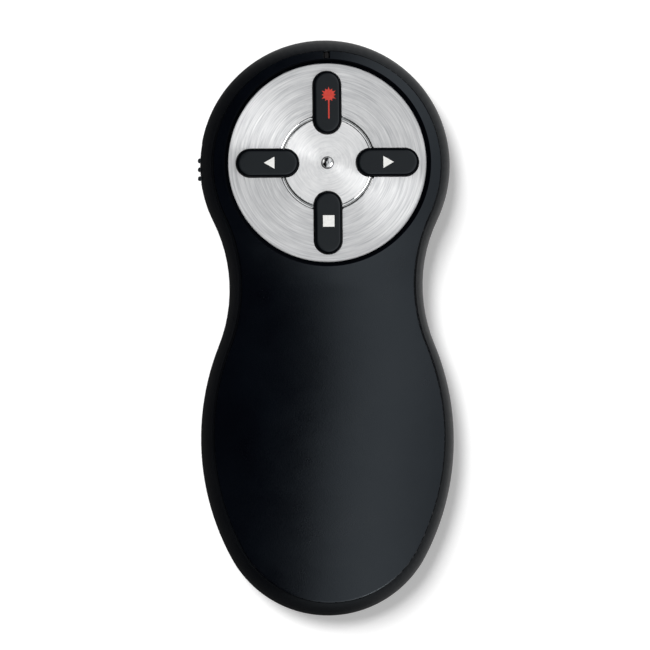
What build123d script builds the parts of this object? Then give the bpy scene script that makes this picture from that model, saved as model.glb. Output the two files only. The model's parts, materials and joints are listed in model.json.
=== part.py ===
from build123d import *
import math
import os

# Wireless presentation clicker: a hand-held remote with a laser pointer, four keys on a brushed disc,
# a side power switch, two AAA cells behind a sliding door and a USB receiver docked in its tail.
# Millimetres, +Z up, +Y towards the laser end, origin in the middle of the flat underside.

# ---------------------------------------------------------------- body outline, seen from above
body_length = 115.0
head_radius = 25.0          # round end that carries the disc
tail_tip_radius = 22.0      # end of the palm
tail_side_radius = 50.0     # flank of the palm
tail_half_width = 25.3
waist_radius = 30.3         # hollow flank between head and palm

# ---------------------------------------------------------------- body heights
widest_z = 11.0             # height of the line where the body is widest
belly_inset = 7.0           # how far the flat underside stands in from the outline
shoulder_inset = 4.5        # reach of the rounding above the widest line
seam_z = 17.0               # parting plane between the two shells
seam_inset = 2.1            # rim of the lower shell, in from the widest line
seam_tail_pull = 1.0        # more than that at the tip of the tail
seam_nose_pull = 0.4        # and at the nose
seam_groove_width = 0.25    # dark line between the shells
seam_groove_depth = 0.4
seam_groove_tuck = 0.2      # groove's reach under the upper shell
seam_lip = 0.1              # edge of the lower shell outside the groove
head_rim_z = 22.0           # upper shell round the disc
palm_top_z = 25.0           # crest of the upper shell over the palm
tail_top_z = 22.0           # crest at the end of the tail
crown_rise_gap = 2.0        # level stretch of the crest behind the disc
crown_radius = 56.0         # cross curvature, and of the dome that the disc is set into
crown_valley = 0.4          # softening of the valley between dome and palm
crown_stations = 24
cover_edge_radius = 0.6
wall = 1.8
skirt_depth = 1.8           # locating lip of the upper shell
skirt_thickness = 1.0
skirt_root = 1.2            # height of the lip's joint to the wall
fit_gap = 0.15              # between parts that only locate each other
slide_gap = 0.2             # around parts that slide

# ---------------------------------------------------------------- disc and keys
disc_border = 5.5           # head's outline to the disc
disc_thickness = 0.8
disc_top_z = 21.2
disc_edge = 0.15
disc_rim_gap = 0.65         # dark ring between the disc and the cover
pocket_bevel = 0.25
deck_thickness = 1.1        # floor of the disc pocket
deck_border = 1.2           # deck material outside the pocket
groove_radius = 9.1
groove_width = 1.0
groove_depth = 0.3
stud_radius = 1.25
stud_shank_radius = 0.8
stud_height = 0.8
stud_fit = 0.04
key_border = 1.6            # disc material outside a key
key_length = 12.2
key_width = 5.4
key_proud = 1.3             # key top above the disc
key_edge_radius = 0.65
key_gap = 0.18
key_flange = 0.8            # retaining rim under the deck
key_flange_thickness = 0.8
key_foot_radius = 1.5
key_foot = 0.4
key_travel = 0.5
key_rest_gap = 0.05         # flange to deck when the key is up

# ---------------------------------------------------------------- board and switches
board_thickness = 1.2
board_setback = 0.2         # board's edge, in from the disc's
board_neck_half_width = 11.0
board_neck_reach = 34.0     # disc centre to the straight end of the board
board_pin_x = 8.0
board_pin_radius = 0.8
board_pin_gap = 0.1
board_pad_radius = 1.6
switch_size = 6.2
switch_height = 2.2
switch_stem_radius = 1.6
switch_stem_proud = 0.8
switch_stem_sunk = 0.9      # length of the stem inside its housing
stem_gap = 0.06
chip_size = 6.0
chip_height = 0.9
chip_drop = 24.0            # disc centre to the chip's centre, down the neck
crystal_length = 3.2
crystal_width = 2.5
crystal_height = 0.8
crystal_x = 7.0

# ---------------------------------------------------------------- cells and their door
cell_radius = 5.2
cell_length = 44.5
cell_edge_radius = 0.5
cell_nub_radius = 1.9
cell_nub_length = 0.8
cell_pitch = 10.8
contact_thickness = 0.4
contact_width = 8.0
contact_tail_width = 2.0
spring_length = 3.0
spring_radius = 3.2
spring_tip_radius = 2.0
spring_wire_radius = 0.3
spring_turns = 3
door_thickness = 1.8
door_half_width = 12.5
door_tongue_reach = 0.9     # side tongue that rides in the housing's groove
door_tongue_thickness = 0.9
door_bed_thickness = 1.2    # housing material over and beside the door
tray_wall = 1.0
tray_roof = 0.9
grip_count = 5
grip_pitch = 1.6
grip_width = 0.7
grip_depth = 0.4
grip_length = 12.0
grip_setback = 8.0          # first grip groove behind the door's front edge

# ---------------------------------------------------------------- USB receiver and its bay
receiver_width = 17.5
receiver_thickness = 6.4
receiver_length = 13.0      # plastic body, behind the cap
receiver_edge_radius = 1.0
receiver_wall = 0.9
receiver_cap_half_width = 10.0
receiver_cap_overhang = 0.6     # cap above and below the body
receiver_cap_depth = 6.0        # cap behind the tip of the tail
receiver_cap_radius = 1.5
receiver_floor = 1.2
receiver_collar_thickness = 1.0
nail_groove_radius = 0.8
nail_groove_length = 8.0
plug_width = 12.0
plug_height = 4.5
plug_length = 11.8
plug_wall = 0.3
plug_root = 2.0                 # plug shell inside the receiver body
plug_gap = 0.05
tongue_thickness = 1.9
tongue_setback = 0.6
plug_contact_width = 1.0
plug_contact_pitch = 2.25
plug_contact_thickness = 0.15
plug_contact_length = 8.0
plug_window = 2.4
plug_window_setback = 5.0
plug_window_x = 3.2
plug_corner = 0.5
receiver_board_thickness = 0.8
receiver_chip_size = 5.0
receiver_chip_height = 0.8

# ---------------------------------------------------------------- laser
laser_z = 9.5
laser_aperture_radius = 1.8
laser_window_radius = 2.5
laser_window_thickness = 1.0
laser_lip = 0.8             # housing wall left in front of the window
laser_barrel_radius = 3.0
laser_bore_radius = 2.2
laser_barrel_length = 13.0
laser_barrel_setback = 4.0  # barrel mouth behind the nose
laser_fit = 0.05
laser_mount_wall = 1.2
laser_mount_length = 4.0
laser_lens_thickness = 1.4
diode_radius = 2.1
diode_length = 3.5
lead_radius = 0.25
lead_spread = 1.0
lead_reach = 2.0            # straight stretch behind the diode
lead_bend = 0.8
saddle_half_width = 4.0
saddle_length = 5.0

# ---------------------------------------------------------------- power slider
slider_offset = 0.7         # behind the disc's centre when off
slider_knob_length = 5.2
slider_height = 3.4
slider_z = 11.2
slider_travel = 2.5
slider_face_setback = 0.25  # knob face behind the head's outline
slider_rib_pitch = 1.78
slider_rib_radius = 0.4
slider_rib_proud = 0.4      # rib crest beyond the head's outline
slider_flange = 0.9
slider_plate_thickness = 1.0
slider_wall_space = 0.7     # between the plate's far corner and the wall where the head is widest
slider_lap = 0.3            # plate beyond the slot's ends
slider_guide = 0.8
fork_length = 2.2
fork_wall = 0.9
lever_width = 1.5
lever_height = 1.4
lever_length = 2.4
lever_sunk = 0.8
lever_drop = 0.3            # lever's centre below the switch's
lever_gap = 0.08
power_switch_length = 8.6
power_switch_width = 3.4
power_switch_height = 3.2

# ---------------------------------------------------------------- status light
light_hole_width = 1.3
light_hole_depth = 1.4
light_pipe_width = 0.6
light_pipe_sunk = 0.3       # pipe's end below the shell's surface
light_hole_setback = 0.3    # cover left between the disc pocket and the light hole
light_block_width = 1.8
light_block_reach = 1.25    # block's reach inward of the hole
led_size = 1.4
led_height = 1.0
led_gap = 0.2
board_tab_half_width = 1.6

# ---------------------------------------------------------------- screws
screw_radius = 0.95
screw_head_radius = 1.9
screw_head_height = 1.4
screw_seat_z = 7.0
screw_slot_width = 0.6
screw_slot_depth = 0.7
screw_slot_length = 2.4
screw_head_edge = 0.4
screw_clearance = 0.15
screw_pilot_gap = 0.03
screw_bite = 3.6            # thread inside the cover's post
boss_radius = 3.0
post_radius = 2.4
head_screw_setback = 2.4    # in from the disc's edge
head_screw_angle = 47.4     # each side of the nose, seen from the disc's centre
tail_screw_setback = 7.7    # in from the widest line of the palm
tail_screw_offset = 9.3     # ahead of the widest place
tail_boss_top_z = 11.0

# ---------------------------------------------------------------- derived places
head_y = body_length / 2 - head_radius
tip_y = tail_tip_radius - body_length / 2
nose_y = body_length / 2
tail_y = -body_length / 2
side_x = tail_half_width - tail_side_radius
side_y = tip_y + math.sqrt((tail_side_radius - tail_tip_radius) ** 2 - side_x**2)

head_centre = Vector(0, head_y)
tip_centre = Vector(0, tip_y)
side_centre = Vector(side_x, side_y)

cover_inset = seam_inset + seam_groove_width + seam_lip
above_z = 2 * palm_top_z    # clear of the whole body, for cuts from the top
disc_radius = head_radius - disc_border
pocket_radius = disc_radius + disc_rim_gap
board_radius = disc_radius - board_setback
key_orbit = disc_radius - key_border - key_length / 2
rise_start_y = head_y - pocket_radius - crown_rise_gap
deck_top_z = disc_top_z - disc_thickness
deck_under_z = deck_top_z - deck_thickness
key_top_z = disc_top_z + key_proud
flange_top_z = deck_under_z - key_rest_gap
flange_under_z = flange_top_z - key_flange_thickness
stem_top_z = flange_under_z - key_foot
switch_top_z = stem_top_z - switch_stem_proud
board_top_z = switch_top_z - switch_height
board_under_z = board_top_z - board_thickness
neck_end_y = head_y - board_neck_reach
board_pin_y = neck_end_y + 2 * board_pad_radius

tray_floor_z = door_thickness + fit_gap
cell_z = door_thickness + 2 * fit_gap + cell_radius
tray_half_width = cell_pitch / 2 + cell_radius + slide_gap
tray_top_z = cell_z + cell_radius + slide_gap
block_top_z = tray_top_z + tray_roof
block_half_width = tray_half_width + tray_wall

bay_floor_z = tray_floor_z + receiver_floor
cap_under_z = bay_floor_z + slide_gap
receiver_under_z = cap_under_z + receiver_cap_overhang
receiver_top_z = receiver_under_z + receiver_thickness
receiver_z = (receiver_under_z + receiver_top_z) / 2
cap_top_z = receiver_top_z + receiver_cap_overhang
cap_front_y = tail_y + receiver_cap_depth
receiver_front_y = cap_front_y + receiver_length
plug_tip_y = receiver_front_y + plug_length
bay_front_y = plug_tip_y + slide_gap
tray_rear_y = bay_front_y + tray_wall
tray_front_y = tray_rear_y + 2 * contact_thickness + spring_length + cell_length + fit_gap
door_front_y = tray_front_y + tray_wall
tongue_half_width = door_half_width + door_tongue_reach
tongue_under_z = door_thickness - door_tongue_thickness
bed_half_width = tongue_half_width + fit_gap + door_bed_thickness

barrel_mouth_y = nose_y - laser_barrel_setback
barrel_rear_y = barrel_mouth_y - laser_barrel_length
window_front_y = nose_y - laser_lip
lead_y = barrel_rear_y - lead_reach

slider_y = head_y - slider_offset
slider_slot_length = slider_knob_length + slider_travel + 2 * slide_gap
slider_slot_y = slider_y + slider_travel / 2
slider_plate_reach = slider_knob_length / 2 + slider_travel + slide_gap + slider_lap
slider_pad_reach = slider_plate_reach + slider_travel / 2 + slider_lap
slider_corner_y = slider_y + slider_plate_reach + slider_travel - head_y
slider_plate_x = -math.sqrt((head_radius - wall - slider_wall_space) ** 2 - slider_corner_y**2)
slider_pad_x = slider_plate_x - slide_gap
fork_root_x = slider_plate_x + slider_plate_thickness
slider_plate_height = slider_height + 2 * slider_flange
power_switch_z = board_under_z - power_switch_height / 2
lever_z = power_switch_z - lever_drop
power_switch_x = fork_root_x + fork_length + slide_gap + power_switch_width / 2

light_hole_rear_y = head_y + pocket_radius + light_hole_setback
light_hole_front_y = light_hole_rear_y + light_hole_depth
light_block_rear_y = light_hole_rear_y - light_block_reach
led_y = light_block_rear_y + led_size / 2
board_tab_end_y = led_y + led_size / 2 + slide_gap

cell_sides = {"left": -1, "right": 1}
key_angles = {"laser": 90, "back": 180, "stop": 270, "forward": 0}
head_screw_orbit = disc_radius - head_screw_setback
head_screw_x = head_screw_orbit * math.sin(math.radians(head_screw_angle))
head_screw_y = head_y + head_screw_orbit * math.cos(math.radians(head_screw_angle))
tail_screw_x = tail_half_width - tail_screw_setback
tail_screw_y = side_y + tail_screw_offset
head_screws = [(side * head_screw_x, head_screw_y) for side in (-1, 1)]
tail_screws = [(side * tail_screw_x, tail_screw_y) for side in (-1, 1)]
pin_places = [(side * board_pin_x, board_pin_y) for side in (-1, 1)]


# ---------------------------------------------------------------- helpers
def box_between(low, high, mode=Mode.ADD):
    """A box on the current part, from one corner to the opposite one."""
    low, high = Vector(*low), Vector(*high)
    size = high - low
    with Locations((low + high) * 0.5):
        Box(abs(size.X), abs(size.Y), abs(size.Z), mode=mode)


def rod_along_y(radius, rear_y, front_y, x=0, z=laser_z, mode=Mode.ADD):
    """A cylinder on the current part, along Y."""
    with Locations(Location((x, (rear_y + front_y) / 2, z), (90, 0, 0))):
        Cylinder(radius, front_y - rear_y, mode=mode)


def rods_up(places, radius, low_z, high_z, mode=Mode.ADD):
    """Upright cylinders on the current part, one at each place in plan."""
    with Locations(*[(x, y, (low_z + high_z) / 2) for x, y in places]):
        Cylinder(radius, high_z - low_z, mode=mode)


def circle_crossing(centre_a, radius_a, centre_b, radius_b):
    """The crossing of two circles that lies furthest along +X."""
    apart = centre_b - centre_a
    along = (radius_a**2 - radius_b**2 + apart.length**2) / (2 * apart.length)
    off = math.sqrt(radius_a**2 - along**2)
    foot = centre_a + apart.normalized() * along
    normal = Vector(-apart.Y, apart.X).normalized()
    return max(foot + normal * off, foot - normal * off, key=lambda point: point.X)


def arc_about(centre, start, end):
    """The short arc from start to end about a centre."""
    middle = centre + ((start + end) * 0.5 - centre).normalized() * (start - centre).length
    return Edge.make_three_point_arc(start, middle, end)


def body_outline(inset, pull=0):
    """The body's plan outline as a flat face, standing in by inset, with a share of the pull at its ends."""
    head = head_centre - Vector(0, seam_nose_pull * pull)
    side = side_centre + Vector(0, seam_tail_pull * pull)
    tip = tip_centre + Vector(0, seam_tail_pull * pull)
    waist = circle_crossing(head, head_radius + waist_radius, side, tail_side_radius + waist_radius)
    head_end = head + (waist - head).normalized() * (head_radius - inset)
    waist_end = side + (waist - side).normalized() * (tail_side_radius - inset)
    side_end = side + (tip - side).normalized() * (tail_side_radius - inset)
    with BuildSketch() as outline:
        with BuildLine():
            add(arc_about(head, head + Vector(0, head_radius - inset), head_end))
            add(arc_about(waist, head_end, waist_end))
            add(arc_about(side, waist_end, side_end))
            add(arc_about(tip, side_end, tip - Vector(0, tail_tip_radius - inset)))
            mirror(about=Plane.YZ)
        make_face()
    return outline.sketch


shoulder_angle = math.acos(1 - seam_inset / shoulder_inset)
shoulder_rise = (seam_z - widest_z) / math.sin(shoulder_angle)


def flank_sections(thickness, floor_z):
    """Height, inset and pull of each outline up the flank: an elliptic belly and shoulder."""
    sections = []
    for degrees in (90, 67.5, 45, 22.5):
        angle = math.radians(degrees)
        height = widest_z - (widest_z - floor_z) * math.sin(angle)
        inset = thickness + (belly_inset - thickness / 2) * (1 - math.cos(angle))
        sections.append((height, inset, 0))
    for share in (0, 0.5, 1):
        angle = shoulder_angle * share
        height = widest_z + shoulder_rise * math.sin(angle)
        rounding = (1 - math.cos(angle)) / (1 - math.cos(shoulder_angle))
        sections.append((height, thickness + seam_inset * rounding, rounding))
    return sections


def crest_at(y):
    """Height of the upper shell's crest: a dome round the disc that runs softly into the palm's swell."""
    dome = head_rim_z - math.sqrt(crown_radius**2 - pocket_radius**2)
    dome += math.sqrt(max(crown_radius**2 - (y - head_y) ** 2, 0))
    rise = min(max((rise_start_y - y) / (rise_start_y - side_y), 0), 1)
    fall = min(max((side_y - y) / (side_y - tail_y), 0), 1)
    palm = head_rim_z + (palm_top_z - head_rim_z) * (1 - math.cos(math.pi * rise)) / 2
    palm -= (palm_top_z - tail_top_z) * (1 - math.cos(math.pi / 2 * fall))
    if y > head_y:
        return dome
    return dome + crown_valley * math.log1p(math.exp((palm - dome) / crown_valley))


def crown_block(drop):
    """Everything under the upper shell's crest, lowered by drop."""
    half = tail_half_width + 2 * wall
    with BuildPart() as block:
        for step in range(crown_stations + 1):
            y = nose_y + wall - (body_length + 2 * wall) * step / crown_stations
            top = crest_at(y) - drop
            side = top - crown_radius + math.sqrt(crown_radius**2 - half**2)
            with BuildSketch(Plane.XZ.offset(-y)):
                with BuildLine():
                    ThreePointArc((-half, side), (0, top), (half, side))
                    Polyline((half, side), (half, 0), (-half, 0), (-half, side))
                make_face()
        loft()
    return block.part


def key_planes(height):
    """One plane at each key's centre, its X pointing outwards along the key."""
    planes = []
    for degrees in key_angles.values():
        outwards = Vector(math.cos(math.radians(degrees)), math.sin(math.radians(degrees)))
        planes.append(Plane(Vector(0, head_y, height) + outwards * key_orbit, outwards, (0, 0, 1)))
    return planes


def bar_along_y(width, height, corner, rear_y, front_y, z, mode=Mode.ADD):
    """A bar with rounded long edges on the current part, along Y."""
    with BuildSketch(Plane.XZ.offset(-rear_y)) as profile:
        with Locations((0, z)):
            RectangleRounded(width, height, corner)
    extrude(profile.sketch, amount=rear_y - front_y, mode=mode)


# ---------------------------------------------------------------- lower housing
with BuildPart() as lower_form:
    for height, inset, pull in flank_sections(0, 0):
        with BuildSketch(Plane.XY.offset(height)):
            add(body_outline(inset, pull))
    loft()

with BuildPart() as lower_hollow:
    for height, inset, pull in flank_sections(wall, wall):
        with BuildSketch(Plane.XY.offset(height)):
            add(body_outline(inset, pull))
    loft()

mount_radius = laser_barrel_radius + laser_fit + laser_mount_wall
mount_rear_y = barrel_mouth_y - laser_mount_length
bay_block_half_width = receiver_cap_half_width + slide_gap + tray_wall

with BuildPart() as lower_inside:
    # bed over the door, block around the cells, block around the receiver
    box_between(
        (-bed_half_width, tail_y, 0),
        (bed_half_width, door_front_y + door_bed_thickness, tray_floor_z + door_bed_thickness),
    )
    box_between((-block_half_width, bay_front_y, 0), (block_half_width, door_front_y, block_top_z))
    box_between(
        (-bay_block_half_width, tail_y, 0),
        (bay_block_half_width, tray_rear_y, cap_top_z + slide_gap + tray_roof),
    )
    # screw bosses, the front pair clamping the board
    rods_up(head_screws, boss_radius, 0, board_under_z)
    rods_up(tail_screws, boss_radius, 0, tail_boss_top_z)
    # pads and locating pins under the board's neck
    rods_up(pin_places, board_pad_radius, tray_top_z, board_under_z)
    rods_up(pin_places, board_pin_radius, tray_top_z, board_top_z)
    # laser mount in the nose and saddle behind it
    rod_along_y(mount_radius, mount_rear_y, nose_y)
    box_between(
        (-saddle_half_width, barrel_rear_y + diode_length, 0),
        (saddle_half_width, barrel_rear_y + diode_length + saddle_length, laser_z),
    )
    # flat pad for the power slider, with a guide rail above and below its plate
    box_between(
        (-head_radius, slider_slot_y - slider_pad_reach, slider_z - slider_plate_height / 2),
        (slider_pad_x, slider_slot_y + slider_pad_reach, slider_z + slider_plate_height / 2),
    )
    for side in (-1, 1):
        rail_z = slider_z + side * (slider_plate_height / 2 + slide_gap + slider_guide / 2)
        box_between(
            (-head_radius, slider_slot_y - slider_pad_reach, rail_z - slider_guide / 2),
            (fork_root_x, slider_slot_y + slider_pad_reach, rail_z + slider_guide / 2),
        )
        box_between(
            (-head_radius, slider_slot_y - slider_pad_reach, rail_z - slider_guide / 2 - slide_gap),
            (slider_pad_x, slider_slot_y + slider_pad_reach, rail_z + slider_guide / 2 + slide_gap),
        )
    add(lower_form.part, mode=Mode.INTERSECT)

with BuildPart() as lower_housing:
    add(lower_form.part)
    add(lower_hollow.part, mode=Mode.SUBTRACT)
    add(lower_inside.part)
    # channel and side grooves for the battery door, open at the tail
    box_between(
        (-door_half_width - slide_gap, tail_y - wall, -wall),
        (door_half_width + slide_gap, door_front_y + fit_gap, tray_floor_z),
        mode=Mode.SUBTRACT,
    )
    box_between(
        (-tongue_half_width - slide_gap, tail_y - wall, tongue_under_z - fit_gap),
        (tongue_half_width + slide_gap, door_front_y + fit_gap, tray_floor_z),
        mode=Mode.SUBTRACT,
    )
    # cell tray, open downwards
    box_between(
        (-tray_half_width, tray_rear_y, door_thickness),
        (tray_half_width, tray_front_y, tray_top_z),
        mode=Mode.SUBTRACT,
    )
    # slots in the tray's roof for the contacts' tails
    for side in cell_sides.values():
        tail_x = side * cell_pitch / 2
        tail_half_slot = contact_tail_width / 2 + fit_gap
        box_between(
            (tail_x - tail_half_slot, tray_front_y - 3 * fit_gap - contact_thickness, cell_z),
            (tail_x + tail_half_slot, tray_front_y, block_top_z),
            mode=Mode.SUBTRACT,
        )
    # receiver bay, with a wider mouth for the cap
    bar_along_y(
        receiver_width + 2 * slide_gap,
        receiver_thickness + 2 * slide_gap,
        receiver_edge_radius,
        tail_y - wall,
        bay_front_y,
        receiver_z,
        mode=Mode.SUBTRACT,
    )
    bar_along_y(
        2 * (receiver_cap_half_width + slide_gap),
        cap_top_z - cap_under_z + 2 * slide_gap,
        receiver_cap_radius,
        tail_y - wall,
        cap_front_y + slide_gap,
        receiver_z,
        mode=Mode.SUBTRACT,
    )
    # laser: aperture, window seat and barrel bore
    rod_along_y(laser_aperture_radius, barrel_mouth_y, nose_y + wall, mode=Mode.SUBTRACT)
    rod_along_y(laser_window_radius + laser_fit, barrel_mouth_y, window_front_y, mode=Mode.SUBTRACT)
    rod_along_y(laser_barrel_radius + laser_fit, lead_y, barrel_mouth_y + fit_gap, mode=Mode.SUBTRACT)
    # screw tunnels from the underside
    for places, top_z in ((head_screws, board_under_z), (tail_screws, tail_boss_top_z)):
        rods_up(places, screw_head_radius + screw_clearance, -wall, screw_seat_z, mode=Mode.SUBTRACT)
        rods_up(places, screw_radius + screw_clearance, 0, top_z, mode=Mode.SUBTRACT)
    # groove under the upper shell's edge
    with BuildSketch(Plane.XY.offset(seam_z - seam_groove_depth)):
        add(body_outline(cover_inset - seam_groove_width, 1))
        add(body_outline(cover_inset + seam_groove_tuck, 1), mode=Mode.SUBTRACT)
    extrude(amount=2 * seam_groove_depth, mode=Mode.SUBTRACT)
    # slot for the power slider's knob
    slot_half_height = slider_height / 2 + slide_gap
    box_between(
        (-head_radius - wall, slider_slot_y - slider_slot_length / 2, slider_z - slot_half_height),
        (slider_pad_x, slider_slot_y + slider_slot_length / 2, slider_z + slot_half_height),
        mode=Mode.SUBTRACT,
    )

# ---------------------------------------------------------------- top cover
with BuildPart() as cover_form:
    with BuildSketch(Plane.XY.offset(seam_z)):
        add(body_outline(cover_inset, 1))
    extrude(amount=palm_top_z)
    add(crown_block(0), mode=Mode.INTERSECT)
    fillet(cover_form.faces().sort_by(Axis.Z)[-1].edges(), radius=cover_edge_radius)
    # disc pocket
    rods_up([(0, head_y)], pocket_radius, deck_top_z, above_z, mode=Mode.SUBTRACT)
    pocket_wall = cover_form.faces().filter_by(GeomType.CYLINDER).filter_by(
        lambda face: abs(face.radius - pocket_radius) < fit_gap
    )
    pocket_rim = pocket_wall.edges().sort_by(Axis.Z)[-1]
    chamfer(pocket_rim, pocket_bevel)

with BuildPart() as cover_hollow:
    with BuildSketch(Plane.XY.offset(seam_z)):
        add(body_outline(cover_inset + wall, 1))
    extrude(amount=palm_top_z)
    add(crown_block(wall), mode=Mode.INTERSECT)
    rods_up([(0, head_y)], pocket_radius + deck_border, deck_under_z, above_z, mode=Mode.SUBTRACT)

with BuildPart() as cover_posts:
    rods_up(head_screws + tail_screws, post_radius, seam_z, above_z)
    add(cover_form.part, mode=Mode.INTERSECT)

with BuildPart() as top_cover:
    add(cover_form.part)
    add(cover_hollow.part, mode=Mode.SUBTRACT)
    # posts for the screws
    add(cover_posts.part)
    rods_up(head_screws, post_radius, board_top_z, seam_z)
    rods_up(tail_screws, post_radius, tail_boss_top_z, seam_z)
    # locating lip inside the seam
    lip_inset = cover_inset + wall + fit_gap
    for low_z, high_z, outer_inset in (
        (seam_z - skirt_depth, seam_z + skirt_root, lip_inset),
        (seam_z, seam_z + skirt_root, cover_inset + wall / 2),
    ):
        with BuildSketch(Plane.XY.offset(low_z)):
            add(body_outline(outer_inset, 1))
            add(body_outline(lip_inset + skirt_thickness, 1), mode=Mode.SUBTRACT)
        extrude(amount=high_z - low_z)
    # key openings and stud hole
    with BuildSketch(*key_planes(deck_under_z)):
        SlotOverall(key_length + 2 * key_gap, key_width + 2 * key_gap)
    extrude(amount=deck_thickness, mode=Mode.SUBTRACT)
    rods_up([(0, head_y)], stud_shank_radius + stud_fit, deck_under_z, deck_top_z, mode=Mode.SUBTRACT)
    # light hole, with room under it for the light pipe's block
    box_between(
        (-light_hole_width / 2, light_hole_rear_y, seam_z),
        (light_hole_width / 2, light_hole_front_y, above_z),
        mode=Mode.SUBTRACT,
    )
    box_between(
        (-board_tab_half_width, light_block_rear_y - slide_gap, seam_z - skirt_depth),
        (board_tab_half_width, light_hole_front_y, deck_under_z),
        mode=Mode.SUBTRACT,
    )
    # pilot holes
    for places, low_z in ((head_screws, board_top_z), (tail_screws, tail_boss_top_z)):
        rods_up(
            places, screw_radius + screw_pilot_gap, low_z, low_z + screw_bite + fit_gap, mode=Mode.SUBTRACT
        )

# ---------------------------------------------------------------- disc and stud
with BuildPart() as trim_disc:
    rods_up([(0, head_y)], disc_radius, deck_top_z, disc_top_z)
    chamfer(trim_disc.edges().group_by(Axis.Z)[-1], disc_edge)
    # turned groove, an arc in section
    with BuildSketch(Plane.XZ.offset(-head_y)):
        with BuildLine():
            groove_in = (groove_radius - groove_width / 2, disc_top_z)
            groove_out = (groove_radius + groove_width / 2, disc_top_z)
            ThreePointArc(groove_in, (groove_radius, disc_top_z - groove_depth), groove_out)
            Line(groove_out, groove_in)
        make_face()
    revolve(axis=Axis((0, head_y, 0), (0, 0, 1)), mode=Mode.SUBTRACT)
    with BuildSketch(*key_planes(deck_top_z)):
        SlotOverall(key_length + 2 * key_gap, key_width + 2 * key_gap)
    extrude(amount=disc_thickness, mode=Mode.SUBTRACT)
    rods_up([(0, head_y)], stud_shank_radius + stud_fit, deck_top_z, disc_top_z, mode=Mode.SUBTRACT)

stud_turn = math.radians(55)
stud_flank = (stud_radius * math.sin(stud_turn), disc_top_z + stud_height * math.cos(stud_turn))
with BuildPart() as centre_stud:
    with BuildSketch(Plane.XZ.offset(-head_y)):
        with BuildLine():
            ThreePointArc((0, disc_top_z + stud_height), stud_flank, (stud_radius, disc_top_z))
            Polyline(
                (stud_radius, disc_top_z),
                (stud_shank_radius, disc_top_z),
                (stud_shank_radius, deck_under_z),
                (0, deck_under_z),
                (0, disc_top_z + stud_height),
            )
        make_face()
    revolve(axis=Axis((0, head_y, 0), (0, 0, 1)))

# ---------------------------------------------------------------- keys with their switches
named_parts = {}
for plane_index, key_name in enumerate(key_angles):
    with BuildPart() as key:
        with BuildSketch(key_planes(flange_top_z)[plane_index]):
            SlotOverall(key_length, key_width)
        extrude(amount=key_top_z - flange_top_z)
        fillet(key.edges().group_by(Axis.Z)[-1], key_edge_radius)
        with BuildSketch(key_planes(flange_under_z)[plane_index]):
            SlotOverall(key_length + 2 * key_flange, key_width + 2 * key_flange)
        extrude(amount=key_flange_thickness)
        with BuildSketch(key_planes(stem_top_z)[plane_index]):
            Circle(key_foot_radius)
        extrude(amount=key_foot)
    named_parts[f"{key_name}_key"] = key

    with BuildPart() as stem:
        with BuildSketch(key_planes(switch_top_z - switch_stem_sunk)[plane_index]):
            Circle(switch_stem_radius)
        extrude(amount=switch_stem_proud + switch_stem_sunk)
    named_parts[f"{key_name}_stem"] = stem

    with BuildPart() as key_switch:
        with BuildSketch(key_planes(board_top_z)[plane_index]):
            Rectangle(switch_size, switch_size)
        extrude(amount=switch_height)
        chamfer(key_switch.edges().filter_by(Axis.Z), 0.3)
        with BuildSketch(key_planes(switch_top_z)[plane_index]):
            Circle(switch_stem_radius + stem_gap)
        extrude(amount=-(switch_stem_sunk + key_travel + slide_gap), mode=Mode.SUBTRACT)
    named_parts[f"{key_name}_switch"] = key_switch

# ---------------------------------------------------------------- main board and what it carries
with BuildPart() as main_board:
    rods_up([(0, head_y)], board_radius, board_under_z, board_top_z)
    box_between(
        (-board_neck_half_width, neck_end_y, board_under_z), (board_neck_half_width, head_y, board_top_z)
    )
    box_between(
        (-board_tab_half_width + fit_gap, head_y, board_under_z),
        (board_tab_half_width - fit_gap, board_tab_end_y, board_top_z),
    )
    fillet(
        main_board.edges().filter_by(Axis.Z).filter_by(lambda e: abs(e.center().Y - neck_end_y) < 0.1), 1.5
    )
    rods_up(head_screws, screw_radius + screw_clearance, board_under_z, board_top_z, mode=Mode.SUBTRACT)
    rods_up(pin_places, board_pin_radius + board_pin_gap, board_under_z, board_top_z, mode=Mode.SUBTRACT)
named_parts["main_board"] = main_board

chip_y = head_y - chip_drop
with BuildPart() as radio_chip:
    box_between(
        (-chip_size / 2, chip_y - chip_size / 2, board_top_z),
        (chip_size / 2, chip_y + chip_size / 2, board_top_z + chip_height),
    )
named_parts["radio_chip"] = radio_chip

with BuildPart() as crystal_can:
    box_between(
        (crystal_x - crystal_length / 2, chip_y - crystal_width / 2, board_top_z),
        (crystal_x + crystal_length / 2, chip_y + crystal_width / 2, board_top_z + crystal_height),
    )
    fillet(crystal_can.edges().filter_by(Axis.Z), 0.4)
named_parts["crystal_can"] = crystal_can

with BuildPart() as status_led:
    box_between(
        (-led_size / 2, led_y - led_size / 2, board_top_z),
        (led_size / 2, led_y + led_size / 2, board_top_z + led_height),
    )
named_parts["status_led"] = status_led

with BuildPart() as light_pipe:
    pipe_top_z = crest_at(light_hole_front_y) - light_pipe_sunk
    box_between(
        (-light_pipe_width / 2, light_hole_rear_y + fit_gap, deck_under_z - fit_gap),
        (light_pipe_width / 2, light_hole_front_y - fit_gap, pipe_top_z),
    )
    box_between(
        (-light_block_width / 2, light_block_rear_y, seam_z + fit_gap),
        (light_block_width / 2, light_hole_front_y - fit_gap, deck_under_z),
    )
    box_between(
        (-led_size / 2, light_block_rear_y, board_top_z + led_height + led_gap),
        (led_size / 2, light_block_rear_y + led_size, seam_z + fit_gap),
    )
named_parts["light_pipe"] = light_pipe

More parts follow.
